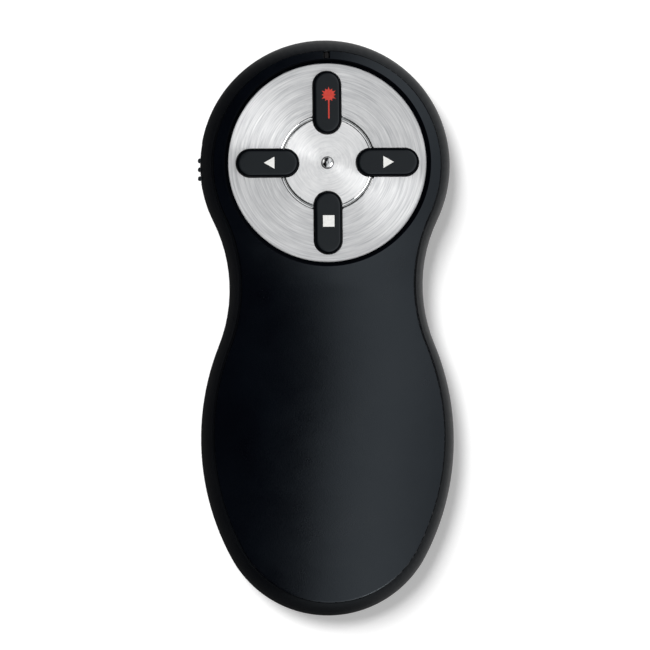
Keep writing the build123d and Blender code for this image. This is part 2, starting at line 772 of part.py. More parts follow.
# ---------------------------------------------------------------- laser
with BuildPart() as laser_barrel:
    rod_along_y(laser_barrel_radius, barrel_rear_y, barrel_mouth_y)
    rod_along_y(laser_bore_radius, barrel_rear_y, barrel_mouth_y, mode=Mode.SUBTRACT)
    chamfer(laser_barrel.edges().group_by(Axis.Y)[-1], 0.2)
named_parts["laser_barrel"] = laser_barrel

with BuildPart() as laser_diode:
    rod_along_y(diode_radius, barrel_rear_y, barrel_rear_y + diode_length)
named_parts["laser_diode"] = laser_diode

with BuildPart() as laser_lens:
    rod_along_y(
        laser_bore_radius - laser_fit,
        barrel_mouth_y - 2 * laser_lens_thickness,
        barrel_mouth_y - laser_lens_thickness,
    )
named_parts["laser_lens"] = laser_lens

with BuildPart() as laser_window:
    rod_along_y(laser_window_radius, window_front_y - laser_window_thickness, window_front_y)
named_parts["laser_window"] = laser_window

with BuildPart() as laser_leads:
    for side in (-1, 1):
        with BuildLine() as lead:
            FilletPolyline(
                (side * lead_spread, barrel_rear_y, laser_z),
                (side * lead_spread, lead_y, laser_z),
                (side * lead_spread, lead_y, board_under_z),
                radius=lead_bend,
            )
        with BuildSketch(Plane(lead.line @ 0, z_dir=lead.line % 0)):
            Circle(lead_radius)
        sweep(path=lead.line)
named_parts["laser_leads"] = laser_leads

# ---------------------------------------------------------------- power slider and its switch
with BuildPart() as power_slider:
    knob_face_x = -head_radius + slider_face_setback
    box_between(
        (knob_face_x, slider_y - slider_knob_length / 2, slider_z - slider_height / 2),
        (slider_plate_x, slider_y + slider_knob_length / 2, slider_z + slider_height / 2),
    )
    box_between(
        (slider_plate_x, slider_y - slider_plate_reach, slider_z - slider_plate_height / 2),
        (fork_root_x, slider_y + slider_plate_reach, slider_z + slider_plate_height / 2),
    )
    with Locations(*[
        (-head_radius - slider_rib_proud + slider_rib_radius, slider_y + step * slider_rib_pitch, slider_z)
        for step in (-1, 0, 1)
    ]):
        Cylinder(slider_rib_radius, slider_height)
    # fork over the switch's lever
    for side in (-1, 1):
        prong_y = slider_y + side * (lever_width / 2 + lever_gap + fork_wall / 2)
        box_between(
            (fork_root_x, prong_y - fork_wall / 2, lever_z - lever_height / 2),
            (fork_root_x + fork_length, prong_y + fork_wall / 2, lever_z + lever_height / 2),
        )
named_parts["power_slider"] = power_slider

lever_face_x = power_switch_x - power_switch_width / 2
with BuildPart() as power_lever:
    box_between(
        (lever_face_x - lever_length, slider_y - lever_width / 2, lever_z - lever_height / 2),
        (lever_face_x + lever_sunk, slider_y + lever_width / 2, lever_z + lever_height / 2),
    )
named_parts["power_lever"] = power_lever

with BuildPart() as power_switch:
    box_between(
        (lever_face_x, slider_slot_y - power_switch_length / 2, power_switch_z - power_switch_height / 2),
        (lever_face_x + power_switch_width, slider_slot_y + power_switch_length / 2, board_under_z),
    )
    lever_half_slot = lever_width / 2 + lever_gap
    lever_half_rise = lever_height / 2 + lever_gap
    box_between(
        (lever_face_x, slider_y - lever_half_slot, lever_z - lever_half_rise),
        (
            lever_face_x + lever_sunk + lever_gap,
            slider_y + slider_travel + lever_half_slot,
            lever_z + lever_half_rise,
        ),
        mode=Mode.SUBTRACT,
    )
named_parts["power_switch"] = power_switch

# ---------------------------------------------------------------- cells, contacts and springs
coil_height = spring_length - 2 * spring_wire_radius


def coil_end(step):
    """End of a half turn of the spring: the coil narrows towards the cell as it climbs."""
    share = step / (2 * spring_turns)
    radius = spring_radius + (spring_tip_radius - spring_radius) * share
    return Vector(radius * (-1) ** step, 0, coil_height * share)


with BuildPart() as coil_spring:
    with BuildLine() as coil:
        for step in range(2 * spring_turns):
            start = coil_end(step)
            end = coil_end(step + 1)
            bulge = Vector(0, (start - end).length / 2 * (-1) ** step)
            ThreePointArc(start, (start + end) * 0.5 + bulge, end)
    with BuildSketch(Plane(coil.line @ 0, z_dir=coil.line % 0)):
        Circle(spring_wire_radius)
    sweep(path=coil.line)

for name, side in cell_sides.items():
    # the left cell's nub points forward, the right one's backward
    nub_way = -side
    plate_y = {1: tray_rear_y + contact_thickness, -1: tray_front_y - contact_thickness}[nub_way]
    flat_end_y = plate_y + nub_way * spring_length
    can_end_y = flat_end_y + nub_way * (cell_length - cell_nub_length)
    nub_end_y = can_end_y + nub_way * cell_nub_length
    cell_x = side * cell_pitch / 2
    with BuildPart() as cell:
        rod_along_y(cell_radius, min(flat_end_y, can_end_y), max(flat_end_y, can_end_y), cell_x, cell_z)
        fillet(cell.edges(), cell_edge_radius)
        rod_along_y(cell_nub_radius, min(can_end_y, nub_end_y), max(can_end_y, nub_end_y), cell_x, cell_z)
    named_parts[f"{name}_cell"] = cell

    with BuildPart() as spring:
        foot = (cell_x, plate_y + nub_way * spring_wire_radius, cell_z)
        with Locations(Plane(foot, x_dir=(1, 0, 0), z_dir=(0, nub_way, 0))):
            add(coil_spring.part)
    named_parts[f"{name}_spring"] = spring

    # separate contact at the front end, with a tail up to the board
    with BuildPart() as contact:
        box_between(
            (cell_x - contact_width / 2, tray_front_y - contact_thickness, cell_z - contact_width / 2),
            (cell_x + contact_width / 2, tray_front_y, cell_z + contact_width / 2),
        )
        box_between(
            (cell_x - contact_tail_width / 2, tray_front_y - contact_thickness, cell_z),
            (cell_x + contact_tail_width / 2, tray_front_y, board_under_z),
        )
    named_parts[{-1: "positive_contact", 1: "negative_contact"}[side]] = contact

with BuildPart() as bridge_contact:
    box_between(
        (-cell_pitch / 2 - contact_width / 2, tray_rear_y, cell_z - contact_width / 2),
        (cell_pitch / 2 + contact_width / 2, tray_rear_y + contact_thickness, cell_z + contact_width / 2),
    )
    fillet(bridge_contact.edges().filter_by(Axis.Y), 1)
named_parts["bridge_contact"] = bridge_contact

# ---------------------------------------------------------------- battery door
with BuildPart() as battery_door:
    box_between((-door_half_width, tail_y, 0), (door_half_width, door_front_y, door_thickness))
    box_between(
        (-tongue_half_width, tail_y, tongue_under_z), (tongue_half_width, door_front_y, door_thickness)
    )
    add(lower_form.part, mode=Mode.INTERSECT)
    for step in range(grip_count):
        groove_y = door_front_y - grip_setback - step * grip_pitch
        box_between(
            (-grip_length / 2, groove_y - grip_width / 2, 0),
            (grip_length / 2, groove_y + grip_width / 2, grip_depth),
            mode=Mode.SUBTRACT,
        )
named_parts["battery_door"] = battery_door

# ---------------------------------------------------------------- USB receiver
cavity_rear_y = cap_front_y + receiver_wall
collar_rear_y = receiver_front_y - receiver_collar_thickness
receiver_board_z = receiver_z - receiver_board_thickness
rail_inner = receiver_width / 2 - 2 * receiver_wall
shell_root_y = collar_rear_y - plug_root + receiver_collar_thickness

with BuildPart() as receiver_cap_form:
    bar_along_y(
        2 * receiver_cap_half_width, cap_top_z - cap_under_z, receiver_cap_radius,
        tail_y - wall, cap_front_y, receiver_z,
    )
    add(lower_form.part, mode=Mode.INTERSECT)

with BuildPart() as receiver_case:
    add(receiver_cap_form.part)
    bar_along_y(
        receiver_width, receiver_thickness, receiver_edge_radius, cap_front_y, collar_rear_y, receiver_z
    )
    bar_along_y(
        receiver_width - 2 * receiver_wall, receiver_thickness - 2 * receiver_wall, receiver_edge_radius / 2,
        cavity_rear_y, collar_rear_y, receiver_z, mode=Mode.SUBTRACT,
    )
    with Locations(Location((0, tail_y, receiver_z), (0, 90, 0))):
        Cylinder(nail_groove_radius, nail_groove_length, mode=Mode.SUBTRACT)
    # rails under the board
    for side in (-1, 1):
        box_between(
            (side * rail_inner, cavity_rear_y, receiver_under_z + receiver_wall),
            (side * (receiver_width / 2 - receiver_wall), collar_rear_y, receiver_board_z),
        )
named_parts["receiver_case"] = receiver_case

with BuildPart() as receiver_collar:
    bar_along_y(
        receiver_width, receiver_thickness, receiver_edge_radius, collar_rear_y, receiver_front_y, receiver_z
    )
    bar_along_y(
        plug_width + 2 * plug_gap, plug_height + 2 * plug_gap, plug_corner, collar_rear_y, receiver_front_y,
        receiver_z, mode=Mode.SUBTRACT,
    )
named_parts["receiver_collar"] = receiver_collar

with BuildPart() as usb_shell:
    bar_along_y(plug_width, plug_height, plug_corner, shell_root_y, plug_tip_y, receiver_z)
    bar_along_y(
        plug_width - 2 * plug_wall, plug_height - 2 * plug_wall, plug_corner / 2, shell_root_y, plug_tip_y,
        receiver_z, mode=Mode.SUBTRACT,
    )
    with Locations(*[
        (side * plug_window_x, plug_tip_y - plug_window_setback, receiver_z) for side in (-1, 1)
    ]):
        Box(plug_window, plug_window, 2 * plug_height, mode=Mode.SUBTRACT)
named_parts["usb_shell"] = usb_shell

tongue_under_plug_z = receiver_z - plug_height / 2 + plug_wall
tongue_top_z = tongue_under_plug_z + tongue_thickness
with BuildPart() as usb_tongue:
    box_between(
        (-plug_width / 2 + plug_wall + plug_gap, shell_root_y, tongue_under_plug_z),
        (plug_width / 2 - plug_wall - plug_gap, plug_tip_y - tongue_setback, tongue_top_z),
    )
    fillet(usb_tongue.edges().filter_by(Axis.Y).group_by(Axis.Z)[0], plug_corner / 2)
named_parts["usb_tongue"] = usb_tongue

with BuildPart() as usb_contacts:
    with Locations(*[
        (step * plug_contact_pitch, plug_tip_y - 2 * tongue_setback - plug_contact_length / 2,
         tongue_top_z + plug_contact_thickness / 2)
        for step in (-1.5, -0.5, 0.5, 1.5)
    ]):
        Box(plug_contact_width, plug_contact_length, plug_contact_thickness)
named_parts["usb_contacts"] = usb_contacts

with BuildPart() as receiver_board:
    board_half_width = receiver_width / 2 - receiver_wall - fit_gap
    box_between(
        (-board_half_width, cavity_rear_y + fit_gap, receiver_board_z),
        (board_half_width, shell_root_y, receiver_board_z + receiver_board_thickness),
    )
named_parts["receiver_board"] = receiver_board

receiver_chip_y = (cavity_rear_y + shell_root_y) / 2
with BuildPart() as receiver_chip:
    chip_z = receiver_board_z + receiver_board_thickness + receiver_chip_height / 2
    with Locations((0, receiver_chip_y, chip_z)):
        Box(receiver_chip_size, receiver_chip_size, receiver_chip_height)
named_parts["receiver_chip"] = receiver_chip

# ---------------------------------------------------------------- screws
for name, places, post_z in (
    ("head_screws", head_screws, board_top_z),
    ("tail_screws", tail_screws, tail_boss_top_z),
):
    with BuildPart() as screws:
        rods_up(places, screw_head_radius, screw_seat_z - screw_head_height, screw_seat_z)
        fillet(screws.edges().group_by(Axis.Z)[0], screw_head_edge)
        rods_up(places, screw_radius, screw_seat_z, post_z + screw_bite)
        for x, y in places:
            with Locations((x, y, screw_seat_z - screw_head_height + screw_slot_depth / 2)):
                Box(screw_slot_length, screw_slot_width, screw_slot_depth, mode=Mode.SUBTRACT)
                Box(screw_slot_width, screw_slot_length, screw_slot_depth, mode=Mode.SUBTRACT)
    named_parts[name] = screws

os.makedirs("parts", exist_ok=True)
named_parts["lower_housing"] = lower_housing
named_parts["top_cover"] = top_cover
named_parts["trim_disc"] = trim_disc
named_parts["centre_stud"] = centre_stud
for label, built in named_parts.items():
    built.part.label = label
    export_step(built.part, f"parts/{label}.step")
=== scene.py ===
import bpy, bmesh, json, math
from mathutils import Matrix, Vector


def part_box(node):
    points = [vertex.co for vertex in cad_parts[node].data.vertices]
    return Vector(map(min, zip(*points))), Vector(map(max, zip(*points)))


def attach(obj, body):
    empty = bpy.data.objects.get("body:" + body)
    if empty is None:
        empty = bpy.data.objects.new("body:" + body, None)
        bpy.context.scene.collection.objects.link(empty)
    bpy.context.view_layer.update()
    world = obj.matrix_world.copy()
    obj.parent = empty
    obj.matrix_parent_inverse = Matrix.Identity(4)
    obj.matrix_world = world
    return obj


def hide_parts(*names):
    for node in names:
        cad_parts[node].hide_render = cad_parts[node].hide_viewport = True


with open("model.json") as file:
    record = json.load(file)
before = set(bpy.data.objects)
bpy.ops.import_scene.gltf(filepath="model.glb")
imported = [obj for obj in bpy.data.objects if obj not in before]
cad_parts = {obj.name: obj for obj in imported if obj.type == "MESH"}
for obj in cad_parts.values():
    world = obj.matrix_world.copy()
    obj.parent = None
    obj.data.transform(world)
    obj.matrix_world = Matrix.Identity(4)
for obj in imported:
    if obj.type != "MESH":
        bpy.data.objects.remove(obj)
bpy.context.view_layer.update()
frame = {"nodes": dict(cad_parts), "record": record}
nodes = frame["nodes"]
bodyOf = {n: b for b, group in frame["record"]["behaviour"]["bodies"].items() for n in group}
mm = 0.001
keySymbols = ("laser", "back", "forward", "stop")

discLow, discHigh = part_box("trim_disc")
discCentre = (discLow + discHigh) / 2
discTop = discHigh.z
discRadius = (discHigh.x - discLow.x) / 2


def linearColour(hexText):  # sRGB hex to linear RGBA
    parts = [int(hexText[i:i + 2], 16) / 255 for i in (1, 3, 5)]
    return [c / 12.92 if c <= 0.04045 else ((c + 0.055) / 1.055) ** 2.4 for c in parts] + [1.0]


def addNode(tree, kind, settings=None, links=None, at=(0, 0)):
    # settings are properties, unlinked inputs or a colour ramp's stops; links go from an input to (node, output)
    node = tree.nodes.new(kind)
    node.location = at
    for name, value in (settings or {}).items():
        if name == "stops":  # (position, colour) pairs
            elements = node.color_ramp.elements
            while len(elements) < len(value):
                elements.new(0.5)
            for element, (position, colour) in zip(elements, value):
                element.position, element.color = position, linearColour(colour)
        elif isinstance(name, int) or name in node.inputs:
            node.inputs[name].default_value = value
        else:
            setattr(node, name, value)
    for name, (source, output) in (links or {}).items():
        tree.links.new(source.outputs[output], node.inputs[name])
    return node


def startMaterial(name, sockets=None):
    # an empty tree with its shader and output; sockets are constant values on the shader
    material = bpy.data.materials.new(name)
    material.use_nodes = True
    tree = material.node_tree
    tree.nodes.clear()
    output = addNode(tree, "ShaderNodeOutputMaterial", at=(900, 0))
    shader = addNode(tree, "ShaderNodeBsdfPrincipled", sockets, at=(600, 0))
    tree.links.new(shader.outputs["BSDF"], output.inputs["Surface"])
    return material, tree, shader


def makePiece(name, mesh, *materials):
    # the bmesh becomes an object at the origin, its materials in the order of their face indices
    data = bpy.data.meshes.new(name)
    for material in materials:
        data.materials.append(material)
    mesh.to_mesh(data)
    mesh.free()
    piece = bpy.data.objects.new(name, data)
    bpy.context.scene.collection.objects.link(piece)
    return piece


# a noise's values lie mostly between these, and those of two rings laid over each other a little closer
noiseLow, noiseHigh = 0.3, 0.7
ringsLow, ringsHigh = 0.32, 0.66


def texturedPlastic(name, look):
    # injection moulded ABS: near-black satin with a fine spark-eroded grain that softens the glare
    # (the real grain is about 0.05 mm, drawn two to eight times as coarse so that it shows)
    material, tree, shader = startMaterial(name, {
        "IOR": 1.5, "Specular IOR Level": look["specular"],
        "Specular Tint": linearColour(look.get("gleam", "#FFFFFF"))})
    coords = addNode(tree, "ShaderNodeTexCoord", at=(-900, 0))
    grain = addNode(tree, "ShaderNodeTexNoise",
                    {"Scale": 1 / (look["grainMm"] * mm), "Detail": 3.0, "Roughness": 0.6},
                    {"Vector": (coords, "Object")}, (-650, -200))
    patches = addNode(tree, "ShaderNodeTexNoise", {"Scale": 1 / (look["patchMm"] * mm), "Detail": 2.0},
                      {"Vector": (coords, "Object")}, (-650, 150))
    tint = addNode(tree, "ShaderNodeValToRGB",
                   {"stops": [(noiseLow, look["dark"]), (noiseHigh, look["light"])]},
                   {"Fac": (patches, "Fac")}, (-350, 250))
    glossStep = 0.03
    gloss = addNode(tree, "ShaderNodeMapRange",
                    {"From Min": noiseLow, "From Max": noiseHigh,
                     "To Min": look["rough"] - glossStep, "To Max": look["rough"] + glossStep},
                    {"Value": (patches, "Fac")}, (-350, 0))
    bump = addNode(tree, "ShaderNodeBump", {"Strength": look["bump"], "Distance": look["depthMm"] * mm},
                   {"Height": (grain, "Fac")}, (-100, -200))
    tree.links.new(tint.outputs["Color"], shader.inputs["Base Color"])
    tree.links.new(gloss.outputs["Result"], shader.inputs["Roughness"])
    tree.links.new(bump.outputs["Normal"], shader.inputs["Normal"])
    return material


def plainMetal(name, look):
    # turned, drawn or plated metal seen only in small parts: fine streaks make its gloss a little uneven
    # (real streaks are under 0.1 mm wide, drawn three to ten times as coarse so that they show)
    material, tree, shader = startMaterial(name, {"Metallic": 1.0})
    coords = addNode(tree, "ShaderNodeTexCoord", at=(-700, 0))
    streaks = addNode(tree, "ShaderNodeTexNoise", {"Scale": 1 / (look["grainMm"] * mm), "Detail": 4.0},
                      {"Vector": (coords, "Object")}, (-450, 0))
    tint = addNode(tree, "ShaderNodeValToRGB",
                   {"stops": [(noiseLow, look["dark"]), (noiseHigh, look["light"])]},
                   {"Fac": (streaks, "Fac")}, (-200, 200))
    glossStep = 0.05
    gloss = addNode(tree, "ShaderNodeMapRange",
                    {"To Min": look["rough"] - glossStep, "To Max": look["rough"] + glossStep},
                    {"Value": (streaks, "Fac")}, (-200, -100))
    tree.links.new(tint.outputs["Color"], shader.inputs["Base Color"])
    tree.links.new(gloss.outputs["Result"], shader.inputs["Roughness"])
    return material


def spunAluminium(name, look):
    # aluminium brushed on a turntable: fine rings round the stud that fan the light into bright wedges
    # (real rings are about 0.05 mm apart, drawn five times as coarse and more so that they show)
    material, tree, shader = startMaterial(name, {
        "Metallic": look["metallic"],  # a clear anodised film scatters part of the light
        "Anisotropic": look["anisotropy"],
        "Anisotropic Rotation": 0.25})  # the gloss spreads across the rings
    coords = addNode(tree, "ShaderNodeTexCoord", at=(-1500, 0))
    centred = addNode(tree, "ShaderNodeMapping", {"Location": [-discCentre.x, -discCentre.y, -discTop]},
                      {"Vector": (coords, "Object")}, (-1300, 0))
    split = addNode(tree, "ShaderNodeSeparateXYZ", links={"Vector": (centred, "Vector")}, at=(-1100, 200))
    flat = addNode(tree, "ShaderNodeCombineXYZ", links={"X": (split, "X"), "Y": (split, "Y")}, at=(-900, 200))
    reach = addNode(tree, "ShaderNodeVectorMath", {"operation": "LENGTH"}, {"Vector": (flat, "Vector")},
                    (-700, 200))
    turn = addNode(tree, "ShaderNodeMath", {"operation": "ARCTAN2"}, {0: (split, "Y"), 1: (split, "X")},
                   (-900, 0))
    # sine and cosine join the two sides of the angle's cut
    waves = [addNode(tree, "ShaderNodeMath", {"operation": wave}, {0: (turn, "Value")}, (-700, 0))
             for wave in ("SINE", "COSINE")]
    rings = []
    for spacingMm, arcTurns, detail in look["rings"]:
        radial = addNode(tree, "ShaderNodeMath", {"operation": "MULTIPLY", 1: 1 / (spacingMm * mm)},
                         {0: (reach, "Value")}, (-500, 300))
        around = [addNode(tree, "ShaderNodeMath", {"operation": "MULTIPLY", 1: arcTurns},
                          {0: (wave, "Value")}, (-500, 0)) for wave in waves]
        place = addNode(tree, "ShaderNodeCombineXYZ",
                        links={"X": (radial, "Value"), "Y": (around[0], "Value"), "Z": (around[1], "Value")},
                        at=(-300, 100))
        rings.append(addNode(tree, "ShaderNodeTexNoise", {"Scale": 1.0, "Detail": detail, "Roughness": 0.65},
                             {"Vector": (place, "Vector")}, (-100, 100)))
    both = addNode(tree, "ShaderNodeMix", {"data_type": "FLOAT", 0: look["coarseShare"]},
                   {2: (rings[0], "Fac"), 3: (rings[1], "Fac")}, (100, 100))
    tint = addNode(tree, "ShaderNodeValToRGB",
                   {"stops": [(ringsLow, look["dark"]), (ringsHigh, look["light"])]},
                   {"Fac": (both, "Result")}, (300, 200))
    glossStep = 0.05
    gloss = addNode(tree, "ShaderNodeMapRange",
                    {"From Min": noiseLow, "From Max": noiseHigh,
                     "To Min": look["rough"] - glossStep, "To Max": look["rough"] + glossStep},
                    {"Value": (both, "Result")}, (300, 0))
    bump = addNode(tree, "ShaderNodeBump", {"Strength": look["bump"], "Distance": look["depthMm"] * mm},
                   {"Height": (both, "Result")}, (300, -200))
    tangent = addNode(tree, "ShaderNodeTangent", {"direction_type": "RADIAL", "axis": "Z"}, at=(300, -400))
    tree.links.new(tint.outputs["Color"], shader.inputs["Base Color"])
    tree.links.new(gloss.outputs["Result"], shader.inputs["Roughness"])
    tree.links.new(bump.outputs["Normal"], shader.inputs["Normal"])
    tree.links.new(tangent.outputs["Tangent"], shader.inputs["Tangent"])
    return material


def clearAcrylic(name, look):
    # moulded and tinted clear acrylic: dark with one sharp glint
    material, tree, shader = startMaterial(name, {
        "Roughness": look["rough"], "IOR": 1.49, "Transmission Weight": look["clear"],
        "Specular IOR Level": look["specular"]})
    coords = addNode(tree, "ShaderNodeTexCoord", at=(-500, 0))
    haze = addNode(tree, "ShaderNodeTexNoise", {"Scale": 1 / (look["hazeMm"] * mm)},
                   {"Vector": (coords, "Object")}, (-300, 0))
    tint = addNode(tree, "ShaderNodeValToRGB",
                   {"stops": [(noiseLow, look["dark"]), (noiseHigh, look["light"])]},
                   {"Fac": (haze, "Fac")})
    tree.links.new(tint.outputs["Color"], shader.inputs["Base Color"])
    return material


def printInk(name, look):
    # pad printed ink: flat matt colour, a little uneven where the film is thin
    material, tree, shader = startMaterial(name, {"Roughness": look["rough"]})
    coords = addNode(tree, "ShaderNodeTexCoord", at=(-500, 0))
    film = addNode(tree, "ShaderNodeTexNoise", {"Scale": 1 / (look["filmMm"] * mm), "Detail": 3.0},
                   {"Vector": (coords, "Object")}, (-300, 0))
    tint = addNode(tree, "ShaderNodeValToRGB",
                   {"stops": [(noiseLow, look["dark"]), (noiseHigh, look["light"])]},
                   {"Fac": (film, "Fac")})
    tree.links.new(tint.outputs["Color"], shader.inputs["Base Color"])
    return material


# moulded ABS in the finishes of its tools, from the satin palm to the dull edges that take no glint, which are
# painted shade
coverAbs = texturedPlastic("coverAbsSatin", {
    "dark": "#020307", "light": "#03050A", "rough": 0.30, "grainMm": 0.22, "patchMm": 9, "bump": 1.0,
    "depthMm": 0.025, "specular": 0.58, "gleam": "#EAF6FF"})
housingAbs = texturedPlastic("housingAbsMatt", {  # duller, so the rim stays darker than the cover
    "dark": "#06070A", "light": "#090A0D", "rough": 0.42, "grainMm": 0.22, "patchMm": 9, "bump": 0.8,
    "depthMm": 0.02, "specular": 0.25, "gleam": "#EAF6FF"})
footAbsPaintedFill = texturedPlastic("footAbsCoarsePaintedFill", {  # a coarser grain, and a lighter grey painted on as fill light so that the dim foot still shows
    "dark": "#151618", "light": "#1D1E20", "rough": 0.5, "grainMm": 0.4, "patchMm": 6, "bump": 0.9,
    "depthMm": 0.03, "specular": 0.5})
paintedShadeAbs = texturedPlastic("paintedShadeAbsMatt", {  # painted shade: a near-black copy without glint, for walls, seams and edges that lie in shade
    "dark": "#020306", "light": "#030407", "rough": 0.6, "grainMm": 0.22, "patchMm": 9, "bump": 0.8,
    "depthMm": 0.02, "specular": 0.04, "gleam": "#EAF6FF"})
sliderAbs = texturedPlastic("sliderAbsSatin", {  # a little lighter, so the ribs stand out of the flank
    "dark": "#0F1012", "light": "#141517", "rough": 0.32, "grainMm": 0.12, "patchMm": 4, "bump": 0.4,
    "depthMm": 0.01, "specular": 0.5, "gleam": "#EAF6FF"})
keyAbs = texturedPlastic("keyAbsSatin", {  # a finer grain gives the key tops an even dark grey
    "dark": "#0A0D0F", "light": "#0E1113", "rough": 0.30, "grainMm": 0.1, "patchMm": 4, "bump": 0.3,
    "depthMm": 0.01, "specular": 0.5, "gleam": "#F2F8FF"})

# rings are (spacing in mm, arcs round the turn, detail), a fine set and a coarse one over it
discRings = [(0.27, 1.6, 2.0), (0.8, 3.0, 5.0)]
spunDisc = spunAluminium("discAluminiumSpun", {
    "dark": "#C6C7C9", "light": "#FFFFFF", "rough": 0.47, "metallic": 0.58, "bump": 0.7, "depthMm": 0.02,
    "anisotropy": 0.9, "coarseShare": 0.35, "rings": discRings})
spunCentre = spunAluminium("discCentreAluminiumSpun", {  # paler inside the groove
    "dark": "#E0E1E2", "light": "#FFFFFF", "rough": 0.47, "metallic": 0.42, "bump": 0.6, "depthMm": 0.02,
    "anisotropy": 0.9, "coarseShare": 0.35, "rings": discRings})
turnedGroove = plainMetal("discAluminiumTurned", {  # cut by a pointed tool: thin bright and dark lines
    "dark": "#D4D4D4", "light": "#EDEDEC", "rough": 0.12, "grainMm": 0.5})

# chrome plate, a small mirror of the room; its foot is painted dark, a painted reflection of the dark gap round
# it
chromeStud = plainMetal("studChrome", {"dark": "#D8D8D8", "light": "#E6E6E6", "rough": 0.2, "grainMm": 1.0})
studFootPaintedReflection = plainMetal("studChromeShaded", {
    "dark": "#2C2D2F", "light": "#3A3B3D", "rough": 0.2, "grainMm": 1.0})

# zinc plated steel, dull grey; turned brass, warm; nickel plated spring sheet, grey; flash gold, yellow
screwSteel = plainMetal("screwSteelZinc", {
    "dark": "#8C8D8F", "light": "#A6A7A8", "rough": 0.35, "grainMm": 0.3})
brassTurned = plainMetal("barrelBrass", {"dark": "#B08A4A", "light": "#C9A45F", "rough": 0.3, "grainMm": 0.3})
nickelSheet = plainMetal("contactNickel", {
    "dark": "#B4B2AC", "light": "#C8C6C0", "rough": 0.25, "grainMm": 0.4})
goldPlate = plainMetal("contactGold", {"dark": "#D9A441", "light": "#E7BC5E", "rough": 0.25, "grainMm": 0.3})

# smoke tinted acrylic of light pipe and lens, and the laser's red window in the nose
smokeAcrylic = clearAcrylic("windowAcrylicSmoke", {
    "dark": "#0E090B", "light": "#160E10", "rough": 0.05, "clear": 0.5, "hazeMm": 3, "specular": 0.12})
redAcrylic = clearAcrylic("windowAcrylicRed", {
    "dark": "#5E1216", "light": "#74191D", "rough": 0.04, "clear": 0.9, "hazeMm": 3, "specular": 0.5})

# inside: glossy green solder mask, dull moulded epoxy, printed shrink film, white moulded polyester
boardFr4 = texturedPlastic("boardSolderMask", {
    "dark": "#0F4A22", "light": "#145A2A", "rough": 0.35, "grainMm": 0.3, "patchMm": 4, "bump": 0.1,
    "depthMm": 0.01, "specular": 0.5})
chipEpoxy = texturedPlastic("chipEpoxy", {
    "dark": "#151516", "light": "#1B1B1C", "rough": 0.55, "grainMm": 0.08, "patchMm": 2, "bump": 0.2,
    "depthMm": 0.01, "specular": 0.5})
cellWrap = texturedPlastic("cellPrintedWrap", {
    "dark": "#5F666C", "light": "#6D747A", "rough": 0.25, "grainMm": 0.6, "patchMm": 12, "bump": 0.05,
    "depthMm": 0.01, "specular": 0.5})
tonguePbt = texturedPlastic("tonguePbtWhite", {
    "dark": "#D9D8D2", "light": "#E4E3DD", "rough": 0.4, "grainMm": 0.3, "patchMm": 3, "bump": 0.1,
    "depthMm": 0.01, "specular": 0.5})

# pad printed inks of the symbols
whiteInk = printInk("symbolInkWhite", {"dark": "#DEDEDB", "light": "#ECECEA", "rough": 0.5, "filmMm": 0.5})
redInk = printInk("symbolInkRed", {"dark": "#B4382E", "light": "#C5453A", "rough": 0.5, "filmMm": 0.5})
print("materials made")

finishes = {
    "top_cover": coverAbs, "lower_housing": housingAbs, "battery_door": footAbsPaintedFill, "trim_disc": spunDisc,
    "centre_stud": chromeStud, "power_slider": sliderAbs, "light_pipe": smokeAcrylic,
    "laser_window": redAcrylic, "laser_lens": smokeAcrylic, "laser_barrel": brassTurned,
    "laser_diode": goldPlate, "laser_leads": goldPlate, "receiver_case": housingAbs,
    "receiver_collar": housingAbs, "usb_shell": nickelSheet, "usb_tongue": tonguePbt,
    "usb_contacts": goldPlate, "head_screws": screwSteel, "tail_screws": screwSteel,
    "left_cell": cellWrap, "right_cell": cellWrap, "main_board": boardFr4, "receiver_board": boardFr4,
    "status_led": tonguePbt, "crystal_can": nickelSheet, "radio_chip": chipEpoxy,
    "receiver_chip": chipEpoxy, "power_switch": chipEpoxy, "power_lever": chipEpoxy,
    "positive_contact": nickelSheet, "negative_contact": nickelSheet, "bridge_contact": nickelSheet,
    "left_spring": nickelSheet, "right_spring": nickelSheet,
}
for part, finish in (("key", keyAbs), ("stem", chipEpoxy), ("switch", chipEpoxy)):
    for symbol in keySymbols:
        finishes[f"{symbol}_{part}"] = finish

for name, node in nodes.items():
    node.data.materials.clear()
    node.data.materials.append(finishes[name])
print("nodes finished")

# the outer pieces are the nodes' own surfaces, merged and shaded smooth
shells = {"names": ("top_cover", "lower_housing", "battery_door", "trim_disc", "centre_stud", "power_slider",
                    "receiver_case", "usb_shell", "laser_key", "back_key", "forward_key", "stop_key",
                    "left_cell", "right_cell"),
          "mergeAt": 0.002 * mm, "sharpDegrees": 28, "normalWeight": 80}
# slopes are the upright share of a face's normal: 1 lies flat, 0 stands up
edges = {"pocketReach": 0.95 * mm, "seamSlope": 0.72, "grooveIn": 8.55 * mm, "grooveOut": 9.65 * mm,
         "studSlope": 0.62, "flatFoot": 0.003 * mm, "keySlope": 0.9, "wallSlope": 0.2, "flatSlope": 0.999,
         "capShare": 0.7}


def fromDisc(point):
    return (point - discCentre).xy.length


def inPocket(face):  # the round well that holds the disc, with its bevel, given the near-black painted shade
    return max(fromDisc(v.co) for v in face.verts) < discRadius + edges["pocketReach"]


def atSeam(face):  # the rounded edge of the cover, where it turns down into the dark seam, given the near-black painted shade
    return abs(face.normal.z) < edges["seamSlope"]


def inGroove(face):  # the turned flanks of the disc's groove
    return (edges["wallSlope"] < face.normal.z < edges["flatSlope"]
            and edges["grooveIn"] < fromDisc(face.calc_center_median()) < edges["grooveOut"])


def inKeySlot(face):  # the punched edges round the keys, aluminium given the near-black painted shade where they lie in shadow
    return (abs(face.normal.z) < edges["wallSlope"]
            and fromDisc(face.calc_center_median()) < discRadius - edges["pocketReach"])


